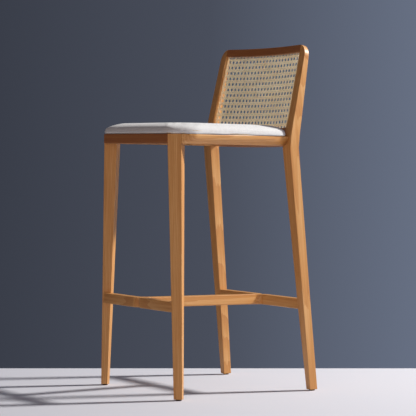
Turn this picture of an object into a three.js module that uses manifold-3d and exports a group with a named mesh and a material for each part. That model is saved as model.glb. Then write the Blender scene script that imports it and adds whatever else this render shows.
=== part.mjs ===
// Bar stool with a caned back, an upholstered seat and an H-shaped footrest.
// Millimetres, +Z up, the front of the stool faces -Y, and +X is the right-hand side seen from the front.

import * as THREE from 'three';
import { mergeVertices } from 'three/addons/utils/BufferGeometryUtils.js';
import Module from 'manifold-3d';

const wasm = await Module();
wasm.setup();

// ---------------------------------------------------------------- driving dimensions

// overall
const seatFrameHeight = 732; // top of the seat rails at the front legs
const backTopHeight = 988; // top of the back
const legDepth = 435.6; // front foot to rear foot, centre to centre
const frontFootSpacing = 407.6; // centre to centre at the floor
const rearFootSpacing = 448.4;
const frontTopSpacing = 351.8; // front leg centres at the seat
const rearTopSpacing = 453.2; // outside to outside of the posts at the seat
const backTopSpacing = 433; // outside to outside of the posts at the top
const frontLegRake = 9.3; // how far the front leg leans back between floor and seat
const rearLegRake = 65.3; // how far the rear leg leans forward between floor and seat
const seatFall = 0.02; // the seat and the footrest drop this much per millimetre towards the back

// legs
const frontLegTop = { outer: 40, side: 38 }; // the front legs stand corner-on: outer face and side face
const frontLegFoot = { outer: 24, side: 18.5 };
const rearLegSeat = { width: 38, depth: 31 };
const rearLegMiddle = { width: 29, depth: 26 };
const rearLegFoot = { width: 19.5, depth: 25 };
const postBottom = { width: 29, depth: 28 }; // just above the seat
const postTop = { width: 26, depth: 13.5 };
const arris = 0.14; // share of a leg's half width that is rounded off its corners
const kneeSoftness = 2.5; // rounds the knee where the rear leg turns into the leaning post

// seat frame
const railHeight = 27;
const frontRailThickness = 24;
const sideRailThickness = 30;
const sideRailRearInset = 13; // side rail's outside face, inside the post's outside face
const flareRadius = 70; // the side rail's top edge leaves the front leg on an arc and then runs straight
const flareAngle = THREE.MathUtils.degToRad(40);
const bellyWidth = 24; // how far the side rail's underside curves in, at the rear leg
const tenonThickness = 10;
const tenonShoulder = 4; // above and below each tenon
const tenonLength = 12; // depth of a tenon in its mortise
const postTenonLength = 8; // side rail into the post, in front of the rear rail's tenon
const blockHeight = 20;
const blockReach = 75; // leg of the corner block's triangle
const blockDrop = 3; // block top below the rail top
const screwSink = 3; // screw heads below the block's faces
const screwOffset = 4; // one rail screw passes this much under the block's middle, the other over it

// back
const backLean = THREE.MathUtils.degToRad(12.76);
const backRadius = 1509; // plan radius of the cane, hollow towards the sitter
const topRailHeight = 21.5;
const railDepth = 14; // top rail, front to back
const rearRailHeight = 50;
const rearRailDepth = 22;
const rearTenonThickness = 6;
const rearTenonShoulder = { below: 6, above: 14 };
const rearRailRise = 14; // the rear rail's top above the seat rails' top
const caneSetback = 7.2; // cane behind the front face of the frame
const backOffset = 10.7; // middle of the cane behind the rear legs' centres, at the seat
const caneThickness = 2;
const splineThickness = 2;
const grooveDepth = 8;
const topCornerRadius = 35;
const looseTenon = { width: 12, thickness: 5, length: 26 };

// seat
const boardThickness = 8;
const coverThickness = 1.5;
const cushionEdge = 12; // height of the cushion's upright edge
const cushionCrown = 34; // height of the cushion in the middle
const cushionRoll = 52; // width of the rounded border
const cushionOverhang = 3;
const cornerSoftness = { front: 0.36, side: 0.6 }; // share of the front corner's flat each rounding takes
const rearCornerRun = 24; // how far the rounded rear corner reaches along each side
const coverReturn = 20; // cloth folded under the board
const dustCoverThickness = 0.7;

// footrest
const footrestHeight = 242; // underside at the front
const barHeight = 29;
const barThickness = 24;
const footrestSetback = 2.4; // bar face behind the front corner of the leg
const spineHalfWidth = 13;
const innerFillet = 16;
const outerFillet = 20;
const barTenon = { thickness: 10, length: 9, shoulder: 5 };
const spineDowel = { diameter: 8, length: 20, count: 3 };

// feet and fasteners
const glide = { radius: 8, thickness: 3, recess: 1.4 };
const nail = { headRadius: 3.4, headThickness: 0.9, shankRadius: 1.2, length: 18 };
const blockScrew = { headRadius: 3.6, shankRadius: 1.9, headHeight: 2.4, length: 34 };
const seatScrew = { headRadius: 3.6, shankRadius: 1.9, headHeight: 2.4, length: 26 };

const gap = 0.3; // clearance between touching pieces
const reach = 1000; // longer than any cut needs

// ---------------------------------------------------------------- materials

const finish = (name, color, roughness, metalness = 0) => new THREE.MeshStandardMaterial({
  name, color, roughness, metalness,
});
const legWood = finish('stained_wood', 0xb67a45, 0.5);
const railWood = finish('stained_wood_rails', 0xa86c3a, 0.5);
const dowelWood = finish('beech', 0xd2ab7c, 0.6);
const rattan = finish('rattan_cane', 0xd2b588, 0.6);
const cloth = finish('woven_cloth', 0xe2e0dd, 0.95);
const foam = finish('foam', 0xe9dfb4, 1);
const plywood = finish('plywood', 0xcfae7c, 0.7);
const cambric = finish('cambric', 0x1c1c1e, 0.95);
const nylon = finish('nylon', 0x2a2420, 0.55);
const steel = finish('zinc_steel', 0xa9abad, 0.35, 1);

// ---------------------------------------------------------------- solids and meshes

const stool = new THREE.Group();
stool.name = 'bar_stool';

function solid(geometry) {
  const bare = geometry.clone();
  for (const name of Object.keys(bare.attributes)) if (name !== 'position') bare.deleteAttribute(name);
  const merged = mergeVertices(bare, 1e-4);
  return new wasm.Manifold(new wasm.Mesh({
    numProp: 3,
    vertProperties: new Float32Array(merged.attributes.position.array),
    triVerts: new Uint32Array(merged.index.array),
  }));
}

function geometryOf(body) {
  const mesh = body.getMesh();
  const geometry = new THREE.BufferGeometry();
  geometry.setAttribute('position', new THREE.BufferAttribute(mesh.vertProperties, 3));
  geometry.setIndex(new THREE.BufferAttribute(mesh.triVerts, 1));
  geometry.computeVertexNormals();
  return geometry;
}

// the same piece on the other side of the stool, with its faces turned back outwards
function mirrored(geometry) {
  const copy = geometry.clone().scale(-1, 1, 1);
  const index = copy.index.array;
  for (let i = 0; i < index.length; i += 3) [index[i], index[i + 1]] = [index[i + 1], index[i]];
  copy.computeVertexNormals();
  return copy;
}

function addMesh(name, geometry, material) {
  const mesh = new THREE.Mesh(geometry, material);
  mesh.name = name;
  stool.add(mesh);
}

const addPiece = (name, body, material) => addMesh(name, geometryOf(body), material);

// a right-hand body and its left-hand twin; the star in the name stands for the side
function addPair(name, body, material) {
  const geometry = geometryOf(body);
  addMesh(name.replace('*', 'right'), geometry, material);
  addMesh(name.replace('*', 'left'), mirrored(geometry), material);
}

// moves each vertex of a geometry through a function of its place
function bend(geometry, place) {
  const position = geometry.attributes.position;
  for (let i = 0; i < position.count; i++) {
    const to = place(position.getX(i), position.getY(i), position.getZ(i));
    position.setXYZ(i, to.x, to.y, to.z);
  }
  return geometry;
}

function box(x0, x1, y0, y1, z0, z1) {
  return new THREE.BoxGeometry(x1 - x0, y1 - y0, z1 - z0)
    .translate((x0 + x1) / 2, (y0 + y1) / 2, (z0 + z1) / 2);
}

// a round pin between two points
function pin(from, to, radius, sides = 16) {
  const along = to.clone().sub(from);
  return new THREE.CylinderGeometry(radius, radius, along.length(), sides)
    .applyQuaternion(new THREE.Quaternion().setFromUnitVectors(
      new THREE.Vector3(0, 1, 0), along.clone().normalize()))
    .translate((from.x + to.x) / 2, (from.y + to.y) / 2, (from.z + to.z) / 2);
}

// a lathe-turned piece whose axis starts at a point and runs in a direction
function turned(profile, from, direction, sides = 16) {
  const points = profile.map(([radius, along]) => new THREE.Vector2(radius, along));
  return new THREE.LatheGeometry(points, sides)
    .applyQuaternion(new THREE.Quaternion().setFromUnitVectors(
      new THREE.Vector3(0, 1, 0), direction.clone().normalize()))
    .translate(from.x, from.y, from.z);
}

// ---------------------------------------------------------------- plan of the legs

const halfDepth = legDepth / 2;
const railBottom = seatFrameHeight - railHeight;
const mix = THREE.MathUtils.lerp;

function frontLegAt(z) {
  const t = z / railBottom;
  return {
    x: mix(frontFootSpacing, frontTopSpacing, t) / 2,
    y: -halfDepth + frontLegRake * t,
    outer: mix(frontLegFoot.outer, frontLegTop.outer, t),
    side: mix(frontLegFoot.side, frontLegTop.side, t),
  };
}

// distance from a front leg's centre to its front corner, and to its outside corner
const cornerReach = (leg) => (leg.outer + leg.side) / 2 * Math.SQRT1_2;

const seatLeg = frontLegAt(railBottom + railHeight / 2);
const frontFace = seatLeg.y - cornerReach(seatLeg);

// everything in the seat frame drops towards the back about the front legs' centre line
function dropped(geometry, pivotY = seatLeg.y, pivotZ = seatFrameHeight) {
  return geometry
    .translate(0, -pivotY, -pivotZ)
    .rotateX(-Math.atan(seatFall))
    .translate(0, pivotY, pivotZ);
}

// ---------------------------------------------------------------- the leaning, hollow back

// x across, forward towards the sitter from the cane, up along the lean from the seat rails' top
const caneFoot = new THREE.Vector3(0, halfDepth - rearLegRake + backOffset, seatFrameHeight);
const leanUp = new THREE.Vector3(0, Math.sin(backLean), Math.cos(backLean));
const leanForward = new THREE.Vector3(0, -Math.cos(backLean), Math.sin(backLean));
const sag = (x) => backRadius - Math.sqrt(backRadius ** 2 - x ** 2);

function backPoint(x, forward, up) {
  return caneFoot.clone()
    .addScaledVector(leanUp, up)
    .addScaledVector(leanForward, forward + sag(x))
    .add(new THREE.Vector3(x, 0, 0));
}

// a slab that follows the cane's curve between two sides, which may be functions of the height up the lean
function curvedSlab(left, right, back, front, low, high, across = 16, upward = 1) {
  const at = (side, up) => (typeof side === 'function' ? side(up) : side);
  return bend(new THREE.BoxGeometry(1, 1, 1, across, 1, upward), (x, y, z) => {
    const up = mix(low, high, z + 0.5);
    return backPoint(mix(at(left, up), at(right, up), x + 0.5), mix(front, back, y + 0.5), up);
  });
}

// ---------------------------------------------------------------- plan of the posts

const topInside = (backTopSpacing / 2) - postTop.width;
const backTop = (backTopHeight - seatFrameHeight - (caneSetback + sag(topInside)) * Math.sin(backLean))
  / Math.cos(backLean); // heights up the lean
const rearRailTop = rearRailRise / Math.cos(backLean);
const openingTop = backTop - topRailHeight;
const heightOf = (up) => seatFrameHeight + up * Math.cos(backLean);

// value at a height, between stations given as [height, value]
function between(stations, z) {
  let i = 1;
  while (i < stations.length - 1 && z > stations[i][0]) i++;
  const [[z0, a], [z1, b]] = [stations[i - 1], stations[i]];
  return mix(a, b, (z - z0) / (z1 - z0));
}

const postStation = [0, footrestHeight + barHeight / 2, railBottom, seatFrameHeight + 45, backTopHeight];
const postSection = [rearLegFoot, rearLegMiddle, rearLegSeat, postBottom, postTop];
const widths = postStation.map((z, i) => [z, postSection[i].width]);
const depths = postStation.map((z, i) => [z, postSection[i].depth]);
const outsides = [
  [0, (rearFootSpacing + rearLegFoot.width) / 2],
  [railBottom, rearTopSpacing / 2],
  [backTopHeight, backTopSpacing / 2],
];

function postAt(z) {
  const outer = between(outsides, z);
  const inner = outer - between(widths, z);
  const depth = between(depths, z);
  const below = halfDepth - rearLegRake * z / railBottom - depth / 2;
  const above = caneFoot.y + (z - seatFrameHeight) * Math.tan(backLean)
    - (caneSetback + sag(inner)) / Math.cos(backLean);
  const front = (above + below + Math.hypot(above - below, kneeSoftness)) / 2;
  return { outer, inner, front, back: front + depth };
}

// ---------------------------------------------------------------- legs

// a square of half width 1 with rounded corners
function roundedSquare(round) {
  const shape = new THREE.Shape();
  shape.moveTo(1, -1 + round);
  [[1, 1], [-1, 1], [-1, -1], [1, -1]].forEach(([x, y], i) => {
    shape.absarc(x * (1 - round), y * (1 - round), round, i * Math.PI / 2, (i + 1) * Math.PI / 2);
  });
  return shape;
}

// a leg's square section carried up from one height to another; place gives each vertex
function leg(low, high, steps, place) {
  const section = new THREE.ExtrudeGeometry(roundedSquare(arris),
    { depth: 1, steps, bevelEnabled: false, curveSegments: 2 });
  return solid(bend(section, (u, v, t) => place(u, v, mix(low, high, t))));
}

const legBottom = glide.thickness + gap;

function frontLeg(grow) {
  const across = new THREE.Vector3(Math.SQRT1_2, Math.SQRT1_2, 0);
  const inward = new THREE.Vector3(-Math.SQRT1_2, Math.SQRT1_2, 0);
  return leg(legBottom - grow, seatFrameHeight + 20, 1, (u, v, z) => {
    const at = frontLegAt(z);
    return new THREE.Vector3(at.x, at.y, z)
      .addScaledVector(across, u * (at.outer / 2 + grow))
      .addScaledVector(inward, v * (at.side / 2 + grow));
  });
}

function rearLeg(grow) {
  return leg(legBottom - grow, backTopHeight + 12, 26, (u, v, z) => {
    const at = postAt(z);
    const x = mix(at.inner - grow, at.outer + grow, (u + 1) / 2);
    return new THREE.Vector3(x, mix(at.front - grow, at.back + grow, (v + 1) / 2), z);
  });
}

// the outline of the back seen square-on, which rounds the top corners of the posts
function backOutline() {
  const side = between(outsides, heightOf(backTop - topCornerRadius));
  const centre = [side - topCornerRadius, backTop - topCornerRadius];
  const shape = new THREE.Shape();
  shape.moveTo(-reach / 2, -reach);
  shape.lineTo(reach / 2, -reach);
  shape.lineTo(reach / 2, centre[1]);
  shape.absarc(centre[0], centre[1], topCornerRadius, 0, Math.PI / 2);
  shape.absarc(-centre[0], centre[1], topCornerRadius, Math.PI / 2, Math.PI);
  shape.lineTo(-reach / 2, centre[1]);
  const frame = new THREE.Matrix4().makeBasis(new THREE.Vector3(1, 0, 0), leanUp, leanForward);
  return solid(new THREE.ExtrudeGeometry(shape, { depth: reach, bevelEnabled: false, curveSegments: 8 })
    .translate(0, 0, -reach / 2).applyMatrix4(frame).translate(0, caneFoot.y, caneFoot.z));
}

const mirroredSolid = (body) => solid(mirrored(geometryOf(body)));
const both = (body) => body.add(mirroredSolid(body));

const frontLegClear = frontLeg(gap);
const rearLegClear = rearLeg(gap);
let frontLegBody = frontLeg(0)
  .subtract(solid(dropped(box(-reach, reach, -reach, reach, seatFrameHeight, seatFrameHeight + reach))));
const outline = backOutline();
let rearLegBody = rearLeg(0).intersect(outline);

// cuts the mortise for a tenon in a leg and gives the leg back
const mortised = (body, tenonAt) => body.subtract(solid(tenonAt(gap)));

// ---------------------------------------------------------------- seat rails

const tenonLow = railBottom + tenonShoulder;
const tenonHigh = seatFrameHeight - tenonShoulder;

const frontTenon = (grow) => {
  const y = frontFace + frontRailThickness / 2;
  const face = seatLeg.x - (cornerReach(seatLeg) - Math.abs(y - seatLeg.y));
  return dropped(box(face - 30, face + tenonLength + grow, y - tenonThickness / 2 - grow,
    y + tenonThickness / 2 + grow, tenonLow - grow, tenonHigh + grow));
};

function frontRail() {
  const round = 3;
  const shape = new THREE.Shape();
  shape.moveTo(frontFace, seatFrameHeight);
  shape.lineTo(frontFace, railBottom + round);
  shape.absarc(frontFace + round, railBottom + round, round, Math.PI, Math.PI * 1.5);
  shape.lineTo(frontFace + frontRailThickness, railBottom);
  shape.lineTo(frontFace + frontRailThickness, seatFrameHeight);
  const along = new THREE.Matrix4().makeBasis(
    new THREE.Vector3(0, 1, 0), new THREE.Vector3(0, 0, 1), new THREE.Vector3(1, 0, 0));
  const length = 2 * seatLeg.x;
  const bar = new THREE.ExtrudeGeometry(shape, { depth: length, bevelEnabled: false, curveSegments: 4 })
    .applyMatrix4(along).translate(-length / 2, 0, 0);
  return solid(dropped(bar)).subtract(both(frontLegClear)).add(both(solid(frontTenon(0))));
}

const sideRailFront = seatLeg.y;
const seatPost = postAt(railBottom + railHeight / 2);
const sideRailRear = seatPost.front + 6;
const sideRailEnds = [seatLeg.x + cornerReach(seatLeg), seatPost.outer - sideRailRearInset];

const flareRun = flareRadius * Math.sin(flareAngle);
const flareWidth = flareRadius * (1 - Math.cos(flareAngle));
const alongSideRail = (y) => (y - sideRailFront) / (sideRailRear - sideRailFront);

// top outside edge of the right-hand side rail: the arc from the front leg, then a straight line
function sideFace(y) {
  const widest = sideRailEnds[0] + flareWidth;
  const run = y - sideRailFront;
  if (run < flareRun) {
    return widest - flareRadius + Math.sqrt(flareRadius ** 2 - (flareRun - Math.max(run, 0)) ** 2);
  }
  return mix(widest, sideRailEnds[1], (run - flareRun) / (sideRailRear - sideRailFront - flareRun));
}

// its bottom outside edge and its inside face run straight from leg to leg
const sideBottom = (y) => mix(sideRailEnds[0], sideRailEnds[1] - bellyWidth, alongSideRail(y));
const sideInside = (y) => mix(sideRailEnds[0], sideRailEnds[1], alongSideRail(y)) - sideRailThickness;

const sideTenonX = {
  front: seatLeg.x + cornerReach(seatLeg) / 2,
  rear: seatPost.inner + tenonThickness / 2 + 2,
};
const tenonHalf = tenonThickness / 2;
const sideFrontTenon = (grow) => {
  const face = seatLeg.y + cornerReach(seatLeg) - (sideTenonX.front - seatLeg.x);
  return dropped(box(sideTenonX.front - tenonHalf - grow, sideTenonX.front + tenonHalf + grow,
    face - tenonLength - grow, face + 30, tenonLow - grow, tenonHigh + grow));
};
const sideRearTenon = (grow) => dropped(box(
  sideTenonX.rear - tenonHalf - grow, sideTenonX.rear + tenonHalf + grow,
  seatPost.front - 20, seatPost.front + postTenonLength + grow, tenonLow - grow, tenonHigh + grow));

function sideRail() {
  const belly = 8; // steps of the curved underside
  const inner = -2; // stands for the inside face in the unit section
  const shape = new THREE.Shape();
  shape.moveTo(inner, 0);
  shape.lineTo(inner, -1);
  for (let i = belly; i >= 0; i--) {
    const angle = i / belly * Math.PI / 2;
    shape.lineTo(Math.cos(angle) - 1, -0.12 - 0.88 * Math.sin(angle));
  }
  shape.lineTo(0, 0);
  const bar = new THREE.ExtrudeGeometry(shape, { depth: 1, steps: 20, bevelEnabled: false });
  return solid(dropped(bend(bar, (s, h, t) => {
    const y = mix(sideRailFront, sideRailRear, (1 - t) ** 1.5); // closer steps along the arc
    const x = s === inner ? sideInside(y) : mix(sideFace(y), sideBottom(y), -s);
    return new THREE.Vector3(x, y, seatFrameHeight + h * railHeight);
  })))
    .subtract(frontLegClear).subtract(rearLegClear).subtract(rearRailClear)
    .add(solid(sideFrontTenon(0))).add(solid(sideRearTenon(0)));
}

// ---------------------------------------------------------------- back rails, cane and splines

const postInside = (up) => postAt(heightOf(up)).inner;
const rearRailBack = caneSetback - rearRailDepth;

const rearTenon = (grow) => curvedSlab(
  postInside(0) - 20, postInside(0) + tenonLength + grow,
  rearRailBack + 1 - grow, rearRailBack + 1 + rearTenonThickness + grow,
  rearRailTop - rearRailHeight + rearTenonShoulder.below - grow,
  rearRailTop - rearTenonShoulder.above + grow, 1);

// a rail of the back, which ends at the posts' inside faces
const backRail = (depth, low, high, grow = 0) => solid(curvedSlab(
  (up) => -postInside(up) + gap - grow, (up) => postInside(up) - gap + grow,
  caneSetback - depth - grow, caneSetback + grow, low - grow, high + grow, 16, 3));

const grooveBack = -(caneThickness / 2 + 2 * gap + splineThickness);
const grooveFront = caneThickness / 2 + gap;
const groove = solid(curvedSlab((up) => -postInside(up) - grooveDepth, (up) => postInside(up) + grooveDepth,
  grooveBack, grooveFront, rearRailTop - grooveDepth, openingTop + grooveDepth, 16, 6));

const topTenon = (grow) => {
  const up = openingTop + topRailHeight / 2 - 1;
  const middle = caneSetback - railDepth / 2 - 1;
  const x = postInside(openingTop + topRailHeight / 2);
  return curvedSlab(x - looseTenon.length / 2 - grow, x + looseTenon.length / 2 + grow,
    middle - looseTenon.thickness / 2 - grow, middle + looseTenon.thickness / 2 + grow,
    up - looseTenon.width / 2 + grooveDepth / 2 - grow, up + looseTenon.width / 2 + grow, 1);
};

const rearRailBody = backRail(rearRailDepth, rearRailTop - rearRailHeight, rearRailTop)
  .add(both(solid(rearTenon(0)))).subtract(groove);
const topRailBody = backRail(railDepth, openingTop, backTop)
  .subtract(groove).subtract(both(solid(topTenon(gap)))).intersect(outline);

const slack = 0.5; // the panel and splines stop short of the bottom of their grooves
const canePanel = solid(curvedSlab(
  (up) => -postInside(up) - grooveDepth + slack, (up) => postInside(up) + grooveDepth - slack,
  -caneThickness / 2, caneThickness / 2,
  rearRailTop - grooveDepth + slack, openingTop + grooveDepth - slack, 16, 6));
const splineBack = grooveBack + gap;
const splineFront = splineBack + splineThickness;
const sideSpline = solid(curvedSlab(
  (up) => postInside(up) + slack, (up) => postInside(up) + grooveDepth - slack,
  splineBack, splineFront, rearRailTop + slack, openingTop - slack, 1, 6));
const crossSpline = (low) => solid(curvedSlab(
  (up) => -postInside(up) + slack, (up) => postInside(up) - slack,
  splineBack, splineFront, low, low + grooveDepth - 2 * slack, 16));

// ---------------------------------------------------------------- footrest

const footLeg = frontLegAt(footrestHeight + barHeight / 2);
const footPost = postAt(footrestHeight + barHeight / 2);
const barFront = footLeg.y - cornerReach(footLeg) + footrestSetback;
const barRear = (footPost.front + footPost.back + barThickness) / 2;
const droppedBar = (geometry) => dropped(geometry, barFront, footrestHeight);
const barTenonLow = footrestHeight + barTenon.shoulder;
const barTenonHigh = footrestHeight + barHeight - barTenon.shoulder;

function barTenonBox(x, y, grow) {
  return droppedBar(box(x - 25, x + barTenon.length + grow, y - barTenon.thickness / 2 - grow,
    y + barTenon.thickness / 2 + grow, barTenonLow - grow, barTenonHigh + grow));
}

const frontBarTenon = (grow) => {
  const y = barFront + barThickness / 2;
  return barTenonBox(footLeg.x - (cornerReach(footLeg) - Math.abs(y - footLeg.y)), y, grow);
};
const rearBarTenon = (grow) => barTenonBox(footPost.inner, barRear - barThickness / 2, grow);

// the right-hand half: two arms that turn into one half of the spine
function footrestHalf() {
  const middle = gap / 2;
  const round = 1.5;
  const shape = new THREE.Shape();
  const right = Math.PI / 2;
  shape.moveTo(middle + outerFillet, barFront);
  shape.lineTo(footLeg.x, barFront);
  shape.lineTo(footLeg.x, barFront + barThickness);
  shape.lineTo(spineHalfWidth + innerFillet, barFront + barThickness);
  const filletX = spineHalfWidth + innerFillet;
  shape.absarc(filletX, barFront + barThickness + innerFillet, innerFillet, -right, -2 * right, true);
  shape.lineTo(spineHalfWidth, barRear - barThickness - innerFillet);
  shape.absarc(filletX, barRear - barThickness - innerFillet, innerFillet, 2 * right, right, true);
  shape.lineTo(footPost.inner + 5, barRear - barThickness);
  shape.lineTo(footPost.inner + 5, barRear);
  shape.lineTo(middle + outerFillet, barRear);
  shape.absarc(middle + outerFillet, barRear - outerFillet, outerFillet, right, 2 * right);
  shape.lineTo(middle, barFront + outerFillet);
  shape.absarc(middle + outerFillet, barFront + outerFillet, outerFillet, 2 * right, 3 * right);
  const bar = new THREE.ExtrudeGeometry(shape, {
    depth: barHeight - 2 * round, bevelThickness: round, bevelSize: round, bevelOffset: -round,
    bevelSegments: 1, curveSegments: 6,
  }).translate(0, 0, footrestHeight + round);
  return solid(droppedBar(bar)).subtract(frontLegClear).subtract(rearLegClear)
    .add(solid(frontBarTenon(0))).add(solid(rearBarTenon(0)));
}

let footrestBody = footrestHalf();
const spineSpan = barRear - barFront - 2 * (barThickness + innerFillet);
for (let i = 0; i < spineDowel.count; i++) {
  const y = barFront + barThickness + innerFillet + spineSpan * (i + 0.5) / spineDowel.count;
  const dowelAt = (grow) => solid(droppedBar(pin(
    new THREE.Vector3(-spineDowel.length / 2 - grow, y, footrestHeight + barHeight / 2),
    new THREE.Vector3(spineDowel.length / 2 + grow, y, footrestHeight + barHeight / 2),
    spineDowel.diameter / 2 + grow)));
  addPiece(`footrest_dowel_${i + 1}`, dowelAt(0), dowelWood);
  footrestBody = footrestBody.subtract(dowelAt(gap));
}

// ---------------------------------------------------------------- seat

const seatFront = frontFace - cushionOverhang;
const rearEdgeBow = sag(seatPost.inner);
const rearDrop = seatFall * (caneFoot.y - seatLeg.y); // how far the seat has dropped at its back edge
const seatRear = caneFoot.y - (caneSetback + rearEdgeBow) / Math.cos(backLean)
  - rearDrop * Math.tan(backLean) - 2 * gap;
const seatMiddle = (seatFront + seatRear) / 2;
const seatHalfWidth = sideRailEnds[0] + flareWidth + cushionOverhang;

// the seat's plan, drawn in from its edge by an inset: straight front, flat corners along the front legs'
// outside faces, then the sides; the back edge follows the hollow of the back
function seatOutline(inset) {
  const out = cushionOverhang - inset;
  const [y0, y1] = [seatFront + inset, seatRear - inset];
  const [wide, narrow] = [seatHalfWidth - inset, sideRailEnds[1] + out];
  const flat = seatLeg.x + cornerReach(seatLeg) - seatLeg.y + out * Math.SQRT2; // x - y along the leg's face
  const [frontCorner, sideCorner] = [flat + y0, wide - flat];
  const slant = [cornerSoftness.front, cornerSoftness.side].map((share) => share * (wide - frontCorner));
  const [front, side] = slant.map((run) => run * Math.SQRT2);
  const rear = rearCornerRun;
  const sideAt = (y) => mix(wide, narrow, (y - sideCorner) / (y1 - sideCorner));
  const shape = new THREE.Shape();
  const half = [
    ['lineTo', frontCorner - front, y0],
    ['quadraticCurveTo', frontCorner, y0, frontCorner + slant[0], y0 + slant[0]],
    ['lineTo', wide - slant[1], sideCorner - slant[1]],
    ['quadraticCurveTo', wide, sideCorner, sideAt(sideCorner + side), sideCorner + side],
    ['lineTo', sideAt(y1 - rear), y1 - rear],
    ['quadraticCurveTo', narrow, y1, narrow - rear, y1],
  ];
  shape.moveTo(0, y0);
  for (const [step, ...places] of half) shape[step](...places);
  shape.quadraticCurveTo(0, y1 + 2 * rearEdgeBow, -narrow + rear, y1);
  shape.quadraticCurveTo(-narrow, y1, -sideAt(y1 - rear), y1 - rear);
  shape.lineTo(-sideAt(sideCorner + side), sideCorner + side);
  shape.quadraticCurveTo(-wide, sideCorner, -wide + slant[1], sideCorner - slant[1]);
  shape.lineTo(-frontCorner - slant[0], y0 + slant[0]);
  shape.quadraticCurveTo(-frontCorner, y0, -frontCorner + front, y0);
  shape.lineTo(0, y0);
  return shape;
}

const slabOf = (shape, low, high) => solid(dropped(new THREE.ExtrudeGeometry(
  shape, { depth: high - low, bevelEnabled: false, curveSegments: 6 }).translate(0, 0, low)));

// a domed cushion on the seat's plan: upright edge, then a rounded border up to the crown
function domed(inset, low, edge, crown) {
  const layers = 6;
  const cushion = new THREE.ExtrudeGeometry(seatOutline(inset),
    { depth: 1, steps: layers, bevelEnabled: false, curveSegments: 6 });
  return solid(dropped(bend(cushion, (x, y, t) => {
    const angle = Math.max(0, t * layers - 1) / (layers - 1) * Math.PI / 2;
    const roll = cushionRoll * (1 - Math.cos(angle));
    const z = t * layers < 0.5 ? low : mix(edge, crown, Math.sin(angle));
    return new THREE.Vector3(x * (1 - roll / seatHalfWidth),
      seatMiddle + (y - seatMiddle) * (1 - roll / (seatMiddle - seatFront)), z);
  })));
}

const coverBottom = seatFrameHeight + gap;
const boardBottom = coverBottom + coverThickness + gap;
const foamBottom = boardBottom + boardThickness + gap;
const edgeTop = seatFrameHeight + cushionEdge;
const crownTop = seatFrameHeight + cushionCrown;
const liningInset = coverThickness;
const fillInset = coverThickness + gap;

const screwHoles = [];
// everything inside the cover follows the same dome
const fill = domed(fillInset, boardBottom, edgeTop - fillInset, crownTop - fillInset);
let boardBody = fill.intersect(slabOf(seatOutline(0), boardBottom, boardBottom + boardThickness));
const dustTop = boardBottom - gap;
let dustBody = slabOf(seatOutline(coverReturn + gap), dustTop - dustCoverThickness, dustTop);
const foamBody = fill.subtract(slabOf(seatOutline(0), boardBottom - 1, foamBottom));
const coverBody = domed(0, coverBottom, edgeTop, crownTop)
  .subtract(domed(liningInset, boardBottom - gap, edgeTop - liningInset, crownTop - liningInset))
  .subtract(slabOf(seatOutline(coverReturn), coverBottom - 5, boardBottom + 1));

// ---------------------------------------------------------------- corner blocks and screws

// a countersunk screw along an axis; the tip is at the far end
const screwBody = (spec, from, direction) => solid(turned([
  [0, 0], [spec.headRadius, 0], [spec.shankRadius, spec.headHeight],
  [spec.shankRadius, spec.length - 4], [0, spec.length],
], from, direction, 12));

const screwHole = (spec, from, direction) => solid(turned([
  [0, -reach / 20], [spec.headRadius + 2 * gap, -reach / 20], [spec.headRadius + 2 * gap, 0],
  [spec.shankRadius + gap, spec.headHeight], [spec.shankRadius + gap, spec.length + gap],
  [0, spec.length + gap],
], from, direction, 12));

const blockTop = seatFrameHeight - blockDrop;
const blockMiddle = blockTop - blockHeight / 2;
const rearRailClear = backRail(rearRailDepth, rearRailTop - rearRailHeight, rearRailTop, 2 * gap);
let frontRailBody = frontRail();
let sideRailBody = sideRail();
let rearRailDrilled = rearRailBody;

function cornerBlock(end, x, y, towardsEnd) {
  const shape = new THREE.Shape();
  const corner = (dx, dy) => [x - dx, y - towardsEnd * dy];
  const outline = [corner(0, -8), corner(0, blockReach), corner(blockReach, 0), corner(blockReach, -8)];
  if (towardsEnd > 0) outline.reverse();
  outline.forEach(([px, py], i) => (i ? shape.lineTo(px, py) : shape.moveTo(px, py)));
  let block = slabOf(shape, blockTop - blockHeight, blockTop)
    .subtract(frontLegClear).subtract(rearLegClear).subtract(rearRailClear).subtract(frontRailGrown);

  const place = (px, py, z) => {
    const spot = dropped(new THREE.BufferGeometry().setFromPoints([new THREE.Vector3(px, py, z)]));
    return new THREE.Vector3().fromBufferAttribute(spot.attributes.position, 0);
  };
  const inset = 2 * blockReach / 3;
  const sunk = blockReach / 3 - screwSink;
  const middle = 2 * blockReach / 5;
  const sideways = [
    place(x - sunk, y - towardsEnd * inset, blockMiddle - screwOffset),
    new THREE.Vector3(1, 0, 0),
  ];
  const lengthways = [
    place(x - inset, y - towardsEnd * sunk, blockMiddle + screwOffset),
    new THREE.Vector3(0, towardsEnd, 0),
  ];
  const upwards = [
    place(x - middle, y - towardsEnd * middle, blockTop - blockHeight + screwSink),
    new THREE.Vector3(0, 0, 1),
  ];
  for (const [name, spec, [from, direction]] of [
    ['side', blockScrew, sideways], ['cross', blockScrew, lengthways], ['seat', seatScrew, upwards]]) {
    const hole = screwHole(spec, from, direction);
    block = block.subtract(hole);
    screwHoles.push(hole);
    addPair(`${end}_*_${name}_screw`, screwBody(spec, from, direction), steel);
  }
  addPair(`${end}_*_corner_block`, block, dowelWood);
}

const frontRailGrown = solid(dropped(box(-reach, reach, frontFace, frontFace + frontRailThickness + gap,
  railBottom - 1, seatFrameHeight + 1)));
cornerBlock('front', sideInside(sideRailFront) - gap, frontFace + frontRailThickness + gap, -1);
cornerBlock('rear', sideInside(seatPost.front - blockReach) - gap, seatPost.front, 1);

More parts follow.
